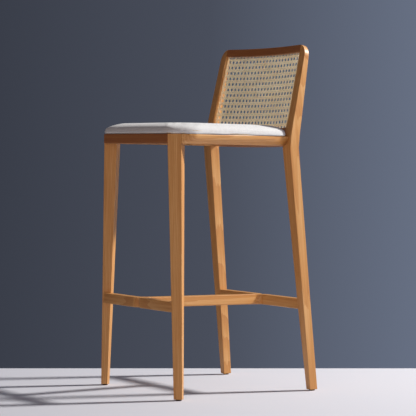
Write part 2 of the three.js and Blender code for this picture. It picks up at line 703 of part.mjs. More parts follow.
for (const hole of screwHoles) {
  sideRailBody = sideRailBody.subtract(hole);
  frontRailBody = frontRailBody.subtract(both(hole));
  rearRailDrilled = rearRailDrilled.subtract(both(hole));
  boardBody = boardBody.subtract(both(hole));
  dustBody = dustBody.subtract(both(hole));
}

// ---------------------------------------------------------------- feet

const footPlaces = [['front', frontFootSpacing / 2, -halfDepth], ['rear', rearFootSpacing / 2, halfDepth]];
for (const [end, x, y] of footPlaces) {
  const floor = new THREE.Vector3(x, y, 0);
  const up = new THREE.Vector3(0, 0, 1);
  const bore = nail.shankRadius + gap;
  const headBore = nail.headRadius + gap;
  addPair(`${end}_*_glide`, solid(turned([
    [bore, glide.recess], [headBore, glide.recess], [headBore, 0], [glide.radius - 0.8, 0],
    [glide.radius, 0.8], [glide.radius, glide.thickness], [bore, glide.thickness], [bore, glide.recess],
  ], floor, up, 20)), nylon);
  const headLow = glide.recess - gap - nail.headThickness;
  addPair(`${end}_*_glide_nail`, solid(turned([
    [0, headLow], [nail.headRadius, headLow], [nail.headRadius, glide.recess - gap],
    [nail.shankRadius, glide.recess - gap], [nail.shankRadius, nail.length - 3], [0, nail.length],
  ], floor, up, 12)), steel);
  const hole = solid(pin(floor, new THREE.Vector3(x, y, nail.length + 1), bore, 12));
  if (end === 'front') frontLegBody = frontLegBody.subtract(hole);
  else rearLegBody = rearLegBody.subtract(hole);
}

// ---------------------------------------------------------------- joints in the legs, then the pieces

for (const tenonAt of [frontTenon, sideFrontTenon, frontBarTenon]) {
  frontLegBody = mortised(frontLegBody, tenonAt);
}
for (const tenonAt of [sideRearTenon, rearTenon, topTenon, rearBarTenon]) {
  rearLegBody = mortised(rearLegBody, tenonAt);
}

addPair('front_*_leg', frontLegBody, legWood);
addPair('rear_*_leg', rearLegBody.subtract(groove), legWood);
addPiece('front_seat_rail', frontRailBody, railWood);
addPair('*_seat_rail', sideRailBody, railWood);
addPiece('rear_seat_rail', rearRailDrilled, railWood);
addPiece('top_back_rail', topRailBody, railWood);
addPair('top_*_loose_tenon', solid(topTenon(0)), dowelWood);
addPiece('cane_panel', canePanel, rattan);
addPair('cane_*_spline', sideSpline, rattan);
addPiece('cane_bottom_spline', crossSpline(rearRailTop - grooveDepth + slack), rattan);
addPiece('cane_top_spline', crossSpline(openingTop + slack), rattan);
addPair('footrest_*_half', footrestBody, legWood);
addPiece('seat_board', boardBody, plywood);
addPiece('seat_foam', foamBody, foam);
addPiece('seat_cover', coverBody, cloth);
addPiece('dust_cover', dustBody, cambric);

// the origin is on the floor, under the middle of the whole stool
const bounds = new THREE.Box3().setFromObject(stool, true);
stool.position.set(0, -(bounds.min.y + bounds.max.y) / 2, -bounds.min.z);
stool.updateMatrixWorld(true);

export default stool;
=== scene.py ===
import math

import bmesh
import bpy
import numpy as np
from mathutils import Matrix, Vector


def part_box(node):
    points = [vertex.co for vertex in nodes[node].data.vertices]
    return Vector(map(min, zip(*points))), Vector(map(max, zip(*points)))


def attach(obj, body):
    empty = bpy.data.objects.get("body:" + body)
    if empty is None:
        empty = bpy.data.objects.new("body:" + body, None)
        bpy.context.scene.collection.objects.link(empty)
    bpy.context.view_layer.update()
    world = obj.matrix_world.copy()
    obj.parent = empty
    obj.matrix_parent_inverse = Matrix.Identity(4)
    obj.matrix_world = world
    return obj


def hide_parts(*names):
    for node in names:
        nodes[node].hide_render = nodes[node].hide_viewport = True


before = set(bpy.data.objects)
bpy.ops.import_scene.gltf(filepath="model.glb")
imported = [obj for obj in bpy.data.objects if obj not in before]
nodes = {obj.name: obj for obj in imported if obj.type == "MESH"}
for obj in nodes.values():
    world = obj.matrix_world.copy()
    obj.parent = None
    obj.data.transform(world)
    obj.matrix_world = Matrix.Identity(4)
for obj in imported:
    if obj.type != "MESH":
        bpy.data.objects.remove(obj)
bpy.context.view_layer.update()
mm = 0.001
sides = {"right": 1, "left": -1}


def hexColor(code):
    # sRGB hex to the linear values that Blender's sockets take
    parts = [int(code[i:i + 2], 16) / 255 for i in (1, 3, 5)]
    linear = [c / 12.92 if c <= 0.04045 else ((c + 0.055) / 1.055) ** 2.4 for c in parts]
    return (*linear, 1.0)


def newMaterial(name):
    material = bpy.data.materials.new(name)
    material.use_nodes = True
    return material


def addNode(material, kind, inputs=None, **settings):
    # a node with its settings, and its inputs set to values or linked to other nodes' outputs
    node = material.node_tree.nodes.new(kind)
    for key, value in settings.items():
        setattr(node, key, value)
    for key, value in (inputs or {}).items():
        if isinstance(value, bpy.types.NodeSocket):
            material.node_tree.links.new(value, node.inputs[key])
        else:
            node.inputs[key].default_value = value
    return node


def setRamp(node, stops):
    ramp = node.color_ramp
    while len(ramp.elements) < len(stops):
        ramp.elements.new(0.5)
    for element, (place, color) in zip(ramp.elements, stops):
        element.position = place
        element.color = hexColor(color) if isinstance(color, str) else (color, color, color, 1)
    return node.outputs["Color"]


def shade(material, links=None, **values):
    # the material's own Principled shader: links are sockets, values stay on the shader
    shader = material.node_tree.nodes["Principled BSDF"]
    for key, value in values.items():
        shader.inputs[key.replace("_", " ")].default_value = value
    for key, value in (links or {}).items():
        material.node_tree.links.new(value, shader.inputs[key])


def newPiece(name, bm, material, replaces=(), sharp=60):
    # turns a bmesh into a finished piece that rides on the stool
    bmesh.ops.recalc_face_normals(bm, faces=bm.faces)
    mesh = bpy.data.meshes.new(name)
    bm.to_mesh(mesh)
    bm.free()
    mesh.shade_smooth()
    mesh.set_sharp_from_angle(angle=math.radians(sharp))
    piece = bpy.data.objects.new(name, mesh)
    bpy.context.scene.collection.objects.link(piece)
    mesh.materials.append(material)
    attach(piece, "root")
    if replaces:
        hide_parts(*replaces)
    return piece


def weightNormals(piece):
    # flat faces stay flat to the eye and narrow chamfers read as rounded
    modifier = piece.modifiers.new("even_normals", "WEIGHTED_NORMAL")
    modifier.keep_sharp = True
    return piece


def mergedCopy(node):
    bm = bmesh.new()
    bm.from_mesh(nodes[node].data)
    bmesh.ops.remove_doubles(bm, verts=bm.verts, dist=0.01 * mm)
    bmesh.ops.dissolve_limit(bm, angle_limit=math.radians(0.5), verts=bm.verts, edges=bm.edges)
    return bm


cutPlaces = {}


def sectionBox(node, origin, normal, axes):
    # lowest and highest place of a CAD node's cut by a plane, along each of the axes
    if node not in cutPlaces:
        mesh = nodes[node].data
        corners = np.array([v.co for v in mesh.vertices])
        cutPlaces[node] = corners, np.array([e.vertices for e in mesh.edges])
    corners, edges = cutPlaces[node]
    height = (corners - np.array(origin)) @ np.array(normal)
    a, b = height[edges[:, 0]], height[edges[:, 1]]
    crossing = (a * b) < 0
    share = (a / np.where(crossing, a - b, 1))[crossing][:, None]
    first, second = corners[edges[crossing, 0]], corners[edges[crossing, 1]]
    points = first + (second - first) * share - np.array(origin)
    along = [points @ np.array(axis) for axis in axes]
    return [(float(places.min()), float(places.max())) for places in along]


def storeGrain(piece, place):
    # each corner's place in the timber, in metres: along the grain, across it, and into the board
    layer = piece.data.attributes.new("grain", "FLOAT_VECTOR", "POINT")
    for vertex, item in zip(piece.data.vertices, layer.data):
        item.vector = place(vertex.co)


def grainAlong(piece, axis, offset):
    # straight grain along one direction; the offset cuts each piece from another part of the board
    along = Vector(axis).normalized()
    across = along.cross(Vector((0, 1, 0)) if abs(along.y) < 0.8 else Vector((0, 0, 1))).normalized()
    into = along.cross(across)
    shift = Vector((0.37, 0.11, 0.053)) * offset
    storeGrain(piece, lambda p: Vector((p.dot(along), p.dot(across), p.dot(into))) + shift)


wood = {
    "fibre": 0.6 * mm,  # spacing of the fine streaks
    "fibreLength": 0.045,
    "streak": 2.6 * mm,  # drawn a little wide so that they show at arm's length
    "streakLength": 0.26,
    "ring": 9 * mm,
    "ringLength": 0.55,
    "bump": 0.2 * mm,
}


def timber(name, dark, middle, light, roughness=0.46):
    # stained ash, planed and oiled: long straight streaks, a few darker rings, a low sheen
    material = newMaterial(name)
    place = addNode(material, "ShaderNodeAttribute", attribute_name="grain").outputs["Vector"]

    def streaks(width, length, detail, roughness=0.55):
        stretched = addNode(material, "ShaderNodeVectorMath",
                            {0: place, 1: (1 / length, 1 / width, 1 / width)},
                            operation="MULTIPLY").outputs["Vector"]
        return addNode(material, "ShaderNodeTexNoise",
                       {"Vector": stretched, "Scale": 1.0, "Detail": detail, "Roughness": roughness})

    broad = streaks(wood["ring"], wood["ringLength"], 2.0)
    middling = streaks(wood["streak"], wood["streakLength"], 3.0, 0.6)
    fine = streaks(wood["fibre"], wood["fibreLength"], 3.0, 0.7)
    ringPlace = addNode(material, "ShaderNodeVectorMath",
                        {0: place, 1: (0.9, 1 / (2.4 * wood["ring"]), 1 / (3.2 * wood["ring"]))},
                        operation="MULTIPLY").outputs["Vector"]
    rings = addNode(material, "ShaderNodeTexWave",
                    {"Vector": ringPlace, "Scale": 2.0, "Distortion": 5.0,
                     "Detail": 2.0, "Detail Scale": 0.7},
                    wave_type="BANDS", bands_direction="Y", wave_profile="SAW")
    mixed = addNode(material, "ShaderNodeMix",
                    {0: 0.45, 2: broad.outputs["Fac"], 3: middling.outputs["Fac"]},
                    data_type="FLOAT").outputs[0]
    ringed = addNode(material, "ShaderNodeMix", {0: 0.22, 2: mixed, 3: rings.outputs["Fac"]},
                     data_type="FLOAT").outputs[0]
    toned = addNode(material, "ShaderNodeMix", {0: 0.2, 2: ringed, 3: fine.outputs["Fac"]},
                    data_type="FLOAT").outputs[0]
    ramp = addNode(material, "ShaderNodeValToRGB", {"Fac": toned})
    color = setRamp(ramp, [(0.25, dark), (0.5, middle), (0.75, light)])
    pores = addNode(material, "ShaderNodeMapRange", {"Value": fine.outputs["Fac"], "From Min": 0.25,
                                                     "From Max": 0.75, "To Min": roughness + 0.12,
                                                     "To Max": roughness - 0.08})
    bump = addNode(material, "ShaderNodeBump", {"Height": fine.outputs["Fac"], "Strength": 0.35,
                                                "Distance": wood["bump"]})
    links = {"Base Color": color, "Roughness": pores.outputs["Result"], "Normal": bump.outputs["Normal"]}
    shade(material, links, IOR=1.5, Coat_Weight=0.25, Coat_Roughness=0.35)
    return material


legTimber = timber("oiled_ash_legs", "#ab6a2e", "#c88e4c", "#dfb27a")
# a darker copy of the same oiled ash, for pieces whose front faces sit in shade: painted shade
shadedAshTimber = timber("oiled_ash_painted_shade", "#85481a", "#9e5f29", "#b4793f")
innerTimber = timber("unfinished_beech", "#b98c5a", "#cfa776", "#dfc096", 0.62)
plyTimber = timber("birch_plywood", "#b8945f", "#ceae7c", "#e0c79b", 0.6)

rattan = {"length": 0.05, "width": 0.9 * mm}


def rattanCane():
    # split rattan with its glossy skin outwards: pale straw, faint lengthwise lines, each strand its own tone
    material = newMaterial("rattan_cane")
    place = addNode(material, "ShaderNodeAttribute", attribute_name="grain").outputs["Vector"]
    stretched = addNode(material, "ShaderNodeVectorMath",
                        {0: place, 1: (1 / rattan["length"], 1 / rattan["width"], 1.0)},
                        operation="MULTIPLY").outputs["Vector"]
    lines = addNode(material, "ShaderNodeTexNoise", {"Vector": stretched, "Scale": 1.0, "Detail": 3.0})
    strandPlace = addNode(material, "ShaderNodeVectorMath", {0: place, 1: (6.0, 0.0, 3.7)},
                          operation="MULTIPLY").outputs["Vector"]
    strand = addNode(material, "ShaderNodeTexNoise", {"Vector": strandPlace, "Scale": 2.0, "Detail": 1.0})
    tone = addNode(material, "ShaderNodeMix", {0: 0.45, 2: lines.outputs["Fac"], 3: strand.outputs["Fac"]},
                   data_type="FLOAT").outputs[0]
    ramp = addNode(material, "ShaderNodeValToRGB", {"Fac": tone})
    color = setRamp(ramp, [(0.28, "#c99b70"), (0.45, "#ecc9a2"), (0.72, "#fae6cd")])
    bump = addNode(material, "ShaderNodeBump", {"Height": lines.outputs["Fac"], "Strength": 0.3,
                                                "Distance": 0.15 * mm})
    # thin strips let some of the light behind them through
    shade(material, {"Base Color": color, "Normal": bump.outputs["Normal"]}, Roughness=0.42, IOR=1.5,
          Subsurface_Weight=0.85, Subsurface_Scale=4 * mm, Subsurface_Radius=(1.0, 0.8, 0.6))
    return material


caneSkin = rattanCane()

cloth = {
    "thread": 1.7 * mm,  # drawn a little coarser than the real threads so that they show
    "slub": 9 * mm,
    "drift": 4 * mm,  # distance over which a thread wanders
    "wander": 0.5 * mm,
    "fuzz": 0.5 * mm,
}


def wovenCloth():
    # off-white plain-woven upholstery cloth: soft threads, slubs, a felt-like edge light
    material = newMaterial("woven_linen")
    place = addNode(material, "ShaderNodeAttribute", attribute_name="weave").outputs["Vector"]
    turn = 2 * math.pi / cloth["thread"]
    warped = addNode(material, "ShaderNodeTexNoise",
                     {"Vector": place, "Scale": 1 / cloth["drift"], "Detail": 2.0})
    drift = addNode(material, "ShaderNodeVectorMath",
                    {0: warped.outputs["Color"], 1: (cloth["wander"], cloth["wander"], 0)},
                    operation="MULTIPLY").outputs["Vector"]
    threadPlace = addNode(material, "ShaderNodeVectorMath", {0: place, 1: drift},
                          operation="ADD").outputs["Vector"]
    split = addNode(material, "ShaderNodeSeparateXYZ", {"Vector": threadPlace})

    def wave(source):
        angle = addNode(material, "ShaderNodeMath", {0: source, 1: turn / 2}, operation="MULTIPLY")
        return addNode(material, "ShaderNodeMath", {0: angle.outputs[0]}, operation="SINE").outputs[0]

    over = addNode(material, "ShaderNodeMath", {0: wave(split.outputs["X"]), 1: wave(split.outputs["Y"])},
                   operation="MULTIPLY").outputs[0]
    lift = addNode(material, "ShaderNodeMath", {0: over}, operation="ABSOLUTE").outputs[0]
    slubPlace = addNode(material, "ShaderNodeVectorMath",
                        {0: place, 1: (1 / cloth["slub"], 0.35 / cloth["thread"], 1 / cloth["slub"])},
                        operation="MULTIPLY").outputs["Vector"]
    slubs = addNode(material, "ShaderNodeTexNoise", {"Vector": slubPlace, "Scale": 1.0, "Detail": 2.0})
    height = addNode(material, "ShaderNodeMath", {0: slubs.outputs["Fac"], 1: 0.5, 2: lift},
                     operation="MULTIPLY_ADD").outputs[0]
    fuzz = addNode(material, "ShaderNodeTexNoise",
                   {"Vector": place, "Scale": 1 / cloth["fuzz"], "Detail": 2.0})
    tone = addNode(material, "ShaderNodeMath", {0: fuzz.outputs["Fac"], 1: 0.35, 2: height},
                   operation="MULTIPLY_ADD").outputs[0]
    ramp = addNode(material, "ShaderNodeValToRGB", {"Fac": tone})
    color = setRamp(ramp, [(0.12, "#adacaa"), (0.55, "#cbcbcb"), (1.0, "#dededf")])
    bump = addNode(material, "ShaderNodeBump", {"Height": height, "Strength": 0.5, "Distance": 0.35 * mm})
    shade(material, {"Base Color": color, "Normal": bump.outputs["Normal"]}, Roughness=0.95,
          Sheen_Weight=0.3, Sheen_Roughness=0.6, IOR=1.45, Specular_IOR_Level=0.2)
    return material


linen = wovenCloth()


def speckled(name, low, high, grain, roughness, metallic=0.0, bumpHeight=0.05 * mm):
    # one noise for colour, gloss and bump, on the piece's own coordinates
    material = newMaterial(name)
    place = addNode(material, "ShaderNodeTexCoord").outputs["Object"]
    noise = addNode(material, "ShaderNodeTexNoise", {"Vector": place, "Scale": 1 / grain, "Detail": 3.0})
    ramp = addNode(material, "ShaderNodeValToRGB", {"Fac": noise.outputs["Fac"]})
    color = setRamp(ramp, [(0.3, low), (0.7, high)])
    gloss = addNode(material, "ShaderNodeMapRange", {"Value": noise.outputs["Fac"],
                                                     "To Min": roughness - 0.08, "To Max": roughness + 0.08})
    bump = addNode(material, "ShaderNodeBump", {"Height": noise.outputs["Fac"], "Strength": 0.4,
                                                "Distance": bumpHeight})
    links = {"Base Color": color, "Roughness": gloss.outputs["Result"], "Normal": bump.outputs["Normal"]}
    shade(material, links, Metallic=metallic, IOR=1.5)
    return material


# dark, faintly grained by the mould
nylonGlide = speckled("moulded_nylon", "#211c19", "#322b27", 1.5 * mm, 0.5)
# bright, slightly mottled plate
zincSteel = speckled("zinc_plated_steel", "#8f9498", "#c0c4c6", 0.8 * mm, 0.34, metallic=1.0)
# black felted web
cambric = speckled("spunbonded_cambric", "#101012", "#242428", 1.2 * mm, 0.9, bumpHeight=0.2 * mm)

print("legs and rails")
leanAngle = math.radians(12.76)
leanUp = Vector((0, math.sin(leanAngle), math.cos(leanAngle)))
leanForward = Vector((0, -math.cos(leanAngle), math.sin(leanAngle)))
acrossAxis = Vector((1, 0, 0))
backRadius = 1.509  # plan radius of the cane, hollow towards the sitter


def sag(x):
    return backRadius - math.sqrt(backRadius ** 2 - x ** 2)


caneLow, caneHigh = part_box("cane_panel")
halfSheet = 1 * mm  # half the cane panel's thickness
# middle of the panel's lower edge, from the box of the leaning, hollow sheet
caneOrigin = Vector((0, caneLow.y + (halfSheet + sag(caneHigh.x)) * leanUp.z,
                     caneLow.z + halfSheet * leanUp.y))


def backPoint(x, forward, up):
    # x across, forward towards the sitter from the cane, up along the lean from the panel's lower edge
    return caneOrigin + leanUp * up + leanForward * (forward + sag(x)) + acrossAxis * x


def unitBar(arris, cuts, segments=4):
    # a bar of half width 1 along Z with rounded long edges, cut into lengths
    bm = bmesh.new()
    bmesh.ops.create_cube(bm, size=2)
    isLong = lambda e: abs(e.verts[0].co.z - e.verts[1].co.z) > 1
    bmesh.ops.bevel(bm, geom=[e for e in bm.edges if isLong(e)], offset=arris, segments=segments,
                    affect="EDGES", profile=0.5, material=-1)
    bmesh.ops.subdivide_edges(bm, edges=[e for e in bm.edges if isLong(e)], cuts=cuts, use_grid_fill=True)
    return bm


def roundFoot(bm, width):
    # softens the rim of the lowest face
    end = min(bm.faces, key=lambda f: f.calc_center_median().z)
    bmesh.ops.bevel(bm, geom=list(end.edges), offset=width, segments=2,
                    affect="EDGES", profile=0.5, material=-1)


legShape = {
    "arris": 0.1,  # share of the half width rounded off each corner
    "endRound": 0.7 * mm,
    "readAbove": 1 * mm,  # a front leg is measured this far above its foot
    "readBelow": 40 * mm,  # and this far below its top
    "footAbove": 0.2 * mm,  # lowest section of a rear leg
    "levelStations": 16,
    "kneeStations": 10,  # sections that turn from level to square with the back's lean
    "kneeBelow": 40 * mm,
    "kneeHeight": 100 * mm,
    "leaningAbove": 65 * mm,  # first section square to the lean, above the front legs' tops
    "leaningStations": 12,
    "arcStations": 15,
}
# the front legs stand corner-on, so their faces look along the diagonals
diagonal = {side: (Vector((s, 1, 0)).normalized(), Vector((-s, 1, 0)).normalized())
            for side, s in sides.items()}


def frontLeg(side):
    node = f"front_{side}_leg"
    low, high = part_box(node)
    axes = diagonal[side]
    ends = []
    for z in (low.z + legShape["readAbove"], high.z - legShape["readBelow"]):
        ends.append((z, sectionBox(node, (0, 0, z), (0, 0, 1), axes)))
    (z0, first), (z1, second) = ends
    bm = unitBar(legShape["arris"], 1)
    for vertex in bm.verts:
        z = low.z + (high.z - low.z) * (vertex.co.z + 1) / 2
        share = (z - z0) / (z1 - z0)
        place = Vector((0, 0, z))
        for axis, unit, a, b in zip(axes, vertex.co[:2], first, second):
            near = a[0] + (b[0] - a[0]) * share
            far = a[1] + (b[1] - a[1]) * share
            place += axis * (near + (far - near) * (unit + 1) / 2)
        vertex.co = place
    roundFoot(bm, legShape["endRound"])
    piece = newPiece(f"wood_{node}", bm, legTimber, [node])
    grainAlong(weightNormals(piece), (0, 0, 1), 1 + sides[side])
    return piece


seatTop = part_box("front_right_leg")[1].z
cornerRound = 35 * mm  # plan of the back's rounded top corners


def rearLegStations(node):
    # planes across the leg: level below the seat, square to the lean above it
    low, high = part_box(node)
    kneeLow = seatTop - legShape["kneeBelow"]
    levels = np.linspace(low.z + legShape["footAbove"], kneeLow, legShape["levelStations"])
    stations = [(Vector((0, 0, z)), Vector((0, 0, 1))) for z in levels]
    kneeY = caneOrigin.y
    for i in range(legShape["kneeStations"]):
        share = (i + 1) / (legShape["kneeStations"] + 1)
        smooth = share * share * (3 - 2 * share)
        angle = leanAngle * smooth
        stations.append((Vector((0, kneeY, kneeLow + legShape["kneeHeight"] * share)),
                         Vector((0, math.sin(angle), math.cos(angle)))))
    firstUp = (seatTop + legShape["leaningAbove"] - caneOrigin.z) / leanUp.z
    arcUp = topUp - cornerRound
    for up in np.linspace(firstUp, arcUp, legShape["leaningStations"]):
        stations.append((caneOrigin + leanUp * up, leanUp))
    for angle in np.linspace(0, lastAngle, legShape["arcStations"])[1:]:
        stations.append((caneOrigin + leanUp * (arcUp + cornerRound * math.sin(angle)), leanUp))
    return stations


railAxes = (leanForward, leanUp)
topRailForward, topRailUp = sectionBox("top_back_rail", caneOrigin + acrossAxis * mm, acrossAxis, railAxes)
topUp = topRailUp[1]
arcStart = caneOrigin + leanUp * (topUp - cornerRound)
postTopInside, postTopOutside = sectionBox("rear_right_leg", arcStart, leanUp, (acrossAxis,))[0]
# the arc ends on the post's inside face
lastAngle = math.acos(1 - (postTopOutside - postTopInside) / cornerRound)


def rearLeg(side):
    node = f"rear_{side}_leg"
    stations = rearLegStations(node)
    bm = unitBar(legShape["arris"], len(stations) - 2)
    sections = []
    for origin, normal in stations:
        backwards = normal.cross(acrossAxis)
        sections.append((origin, backwards, sectionBox(node, origin, normal, (acrossAxis, backwards))))
    for vertex in bm.verts:
        origin, backwards, (xs, ys) = sections[round((vertex.co.z + 1) / 2 * (len(sections) - 1))]
        x = xs[0] + (xs[1] - xs[0]) * (vertex.co.x + 1) / 2
        y = ys[0] + (ys[1] - ys[0]) * (vertex.co.y + 1) / 2
        vertex.co = origin + acrossAxis * x + backwards * y
    roundFoot(bm, legShape["endRound"])
    piece = newPiece(f"wood_{node}", bm, legTimber, [node])
    grainAlong(weightNormals(piece), (0, -0.09, 1), 4 + sides[side])
    return piece


for side in sides:
    frontLeg(side)
    rearLeg(side)


def woodCopy(node, material, axis, offset):
    # the CAD piece with its loose triangles joined and its facets smoothed
    piece = newPiece(f"wood_{node}", mergedCopy(node), material, [node])
    grainAlong(weightNormals(piece), axis, offset)
    return piece


# painted shade: the front rail, facing away from the key, takes the darker copy of the ash; the lit side
# rails keep the plain leg timber
woodCopy("front_seat_rail", shadedAshTimber, (1, 0, 0), 7)
woodCopy("right_seat_rail", legTimber, (0, 1, 0), 8)
woodCopy("left_seat_rail", legTimber, (0, 1, 0), 9)

bentArm = {
    "turn": 40 * mm,  # radius on which the grain turns into the spine
    "centre": 45 * mm,  # centre of that turn, from the arm's outer face
    "start": 0.3,  # where the turn lies along the board
}


def footrestGrain(piece, node):
    # bent halves: the grain follows each arm round the corner into the spine
    low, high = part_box(node)
    turn, start = bentArm["turn"], bentArm["start"]

    def place(p):
        end = 1 if p.y > (low.y + high.y) / 2 else -1
        face = high.y if end > 0 else -low.y
        dx = abs(p.x) - turn
        dy = end * p.y - (face - bentArm["centre"])
        if dx < 0 and dy > 0:
            return Vector((end * (start - turn * math.atan2(-dx, dy)), math.hypot(dx, dy), p.z))
        if dx >= 0:
            return Vector((end * (start + dx), dy, p.z))
        return Vector((end * (start - turn * math.pi / 2 + dy), -dx, p.z))

    storeGrain(piece, place)


for side in sides:
    node = f"footrest_{side}_half"
    half = weightNormals(newPiece(f"wood_{node}", mergedCopy(node), legTimber, [node]))
    footrestGrain(half, node)

print("back rails")
caneGroove = 7.5 * mm  # how far the panel runs into the posts
panelForward, panelUp = sectionBox("cane_panel", caneOrigin + acrossAxis * mm, acrossAxis, railAxes)
measuredUps = (10 * mm, panelUp[1] - 10 * mm)  # heights at which the posts' distance is read
measuredInsides = [
    sectionBox("cane_panel", caneOrigin + leanUp * up, leanUp, (acrossAxis,))[0][1] - caneGroove
    for up in measuredUps
]


def postInside(up):
    # half the width between the posts, at a height up the lean
    share = (up - measuredUps[0]) / (measuredUps[1] - measuredUps[0])
    return measuredInsides[0] + (measuredInsides[1] - measuredInsides[0]) * share


curvedShape = {"clearance": 0.3 * mm, "cuts": 40}


def curvedBar(name, forward, upwards, material, replaced, edge=1.3 * mm, arc=False):
    # a bar between the posts that follows the hollow of the back
    (f0, f1), (u0, u1) = forward, upwards
    width, height = f1 - f0, u1 - u0
    bm = bmesh.new()
    bmesh.ops.create_cube(bm, size=1)
    bmesh.ops.scale(bm, vec=(1, width, height), verts=bm.verts)
    isLong = lambda e: abs(e.verts[0].co.x - e.verts[1].co.x) > 0.5
    bmesh.ops.bevel(bm, geom=[e for e in bm.edges if isLong(e)], offset=edge, segments=4,
                    affect="EDGES", profile=0.5, material=-1)
    bmesh.ops.subdivide_edges(bm, edges=[e for e in bm.edges if isLong(e)], cuts=curvedShape["cuts"],
                              use_grid_fill=True)
    for vertex in bm.verts:
        up = u0 + height / 2 + vertex.co.z
        x = 2 * vertex.co.x * (postInside(up) - curvedShape["clearance"])
        if arc:
            over = max(0, abs(x) - (postTopOutside - cornerRound))
            up -= (cornerRound - math.sqrt(cornerRound ** 2 - over ** 2)) * (0.5 + vertex.co.z / height)
        vertex.co = backPoint(x, f0 + width / 2 + vertex.co.y, up)
    piece = newPiece(name, bm, material, replaced)
    return weightNormals(piece)


# painted shade: the top back rail and the rear seat rail, whose front faces sit in shade, take the darker
# copy of the ash
topRail = curvedBar("wood_top_back_rail", topRailForward, topRailUp, shadedAshTimber,
                    ["top_back_rail"], arc=True)
grainAlong(topRail, (1, 0, 0), 11)
rearForward, rearUp = sectionBox("rear_seat_rail", caneOrigin + acrossAxis * mm, acrossAxis, railAxes)
rearRail = curvedBar("wood_rear_seat_rail", rearForward, rearUp, shadedAshTimber,
                     ["rear_seat_rail"])
grainAlong(rearRail, (1, 0, 0), 12)

print("cane")
weave = {
    "pitchAcross": 16.6 * mm,  # one octagonal hole to the next
    "pitchUp": 16.87 * mm,
    "firstAcross": 3.32 * mm,  # a hole's centre beside the middle of the back
    "firstUp": 128.35 * mm,  # a hole's centre above the panel's lower edge
    "pairHalf": 2.35 * mm,  # the two strands of a pair, from the pair's middle
    "strand": 2.4 * mm,
    "diagonal": 2.1 * mm,
    "thickness": 0.55 * mm,
    "stepsPerHole": 8,
    "grainShift": 0.37,  # each strand is cut from another part of the cane
    "tuckedIn": 5 * mm,  # strands run this far into the posts
    "endGap": 3 * mm,  # and stop this far from the panel's lower and upper edges
    "rise": 0.55,  # share of the thickness that a strand of a pair rises or sinks at a crossing
    "diagonalRise": 1.25,  # diagonals rise this much more
    "diagonalSwing": 1.6,  # and pass this much more steeply from one side to the other
    "diagonalSteps": 1.2,  # and have this many more steps
    "diagonalReach": 26,  # more holes than the panel is wide and high
}


def hump(distance):
    # rise and fall of a strand through a crossing of two pairs, odd about its middle
    reach = 2 * weave["pairHalf"]
    return math.sin(math.pi * distance / reach) if abs(distance) < reach else 0.0


def toNearest(value, pitch, first):
    # signed distance to the nearest crossing of the pairs, half a pitch from the holes
    return (value - first) % pitch - pitch / 2


lastAcross = postInside(0) + weave["tuckedIn"]
lowestUp, highestUp = weave["endGap"], panelUp[1] - weave["endGap"]


def strandPiece(name, paths, width):
    # flat strands with rounded edges, laid along their paths and joined into one piece
    joined = bmesh.new()
    strip = bpy.data.meshes.new(f"{name}_strip")
    for number, path in enumerate(paths):
        bm = unitBar(0.5, len(path) - 2, segments=1)
        layer = bm.verts.layers.float_vector.new("grain")
        for vertex in bm.verts:
            i = round((vertex.co.z + 1) / 2 * (len(path) - 1))
            x, up, lift = path[i]
            a, b = path[max(i - 1, 0)], path[min(i + 1, len(path) - 1)]
            sideways = Vector((a[1] - b[1], b[0] - a[0])).normalized() * (vertex.co.x * width / 2)
            forward = lift + vertex.co.y * weave["thickness"] / 2
            travelled = math.hypot(x - path[0][0], up - path[0][1])
            vertex[layer] = Vector((travelled, vertex.co.x * width / 2, number * weave["grainShift"]))
            vertex.co = backPoint(x + sideways.x, forward, up + sideways.y)
        bm.to_mesh(strip)
        bm.free()
        joined.from_mesh(strip)
    bpy.data.meshes.remove(strip)
    return newPiece(name, joined, caneSkin, sharp=70)


def spans(first, pitch, low, high):
    # middles of the pairs between two limits
    start = math.ceil((low - first - pitch / 2) / pitch)
    values = []
    while first + pitch / 2 + start * pitch < high:
        values.append(first + pitch / 2 + start * pitch)
        start += 1
    return values


def insideFrame(x, up):
    return abs(x) < postInside(up) + weave["tuckedIn"] and lowestUp <= up < highestUp


rise = weave["thickness"] * weave["rise"]
acrossStep = weave["pitchAcross"] / weave["stepsPerHole"]
upStep = weave["pitchUp"] / weave["stepsPerHole"]


def keptPaths(paths):
    # the part of each path inside the frame
    inside = [[point for point in path if insideFrame(point[0], point[1])] for path in paths]
    return [path for path in inside if len(path) > 2]


def uprightPath(middle, sign):
    x = middle + sign * weave["pairHalf"]
    return [(x, float(up), sign * rise * hump(toNearest(up, weave["pitchUp"], weave["firstUp"])))
            for up in np.arange(lowestUp, highestUp, upStep)]


def crosswisePath(middle, sign):
    up = middle + sign * weave["pairHalf"]
    return [(float(x), up, -sign * rise * hump(toNearest(x, weave["pitchAcross"], weave["firstAcross"])))
            for x in np.arange(-lastAcross, lastAcross, acrossStep)]


def diagonalPath(direction, row):
    # cuts the corners of the holes and crosses the pairs midway between their crossings
    path = []
    for x in np.arange(-lastAcross, lastAcross, acrossStep / weave["diagonalSteps"]):
        cell = (x - weave["firstAcross"]) / weave["pitchAcross"]
        up = weave["firstUp"] + (direction * cell + 0.5 + row) * weave["pitchUp"]
        swing = max(-1, min(1, weave["diagonalSwing"] * math.cos(2 * math.pi * cell)))
        path.append((float(x), float(up), direction * weave["diagonalRise"] * rise * swing))
    return path


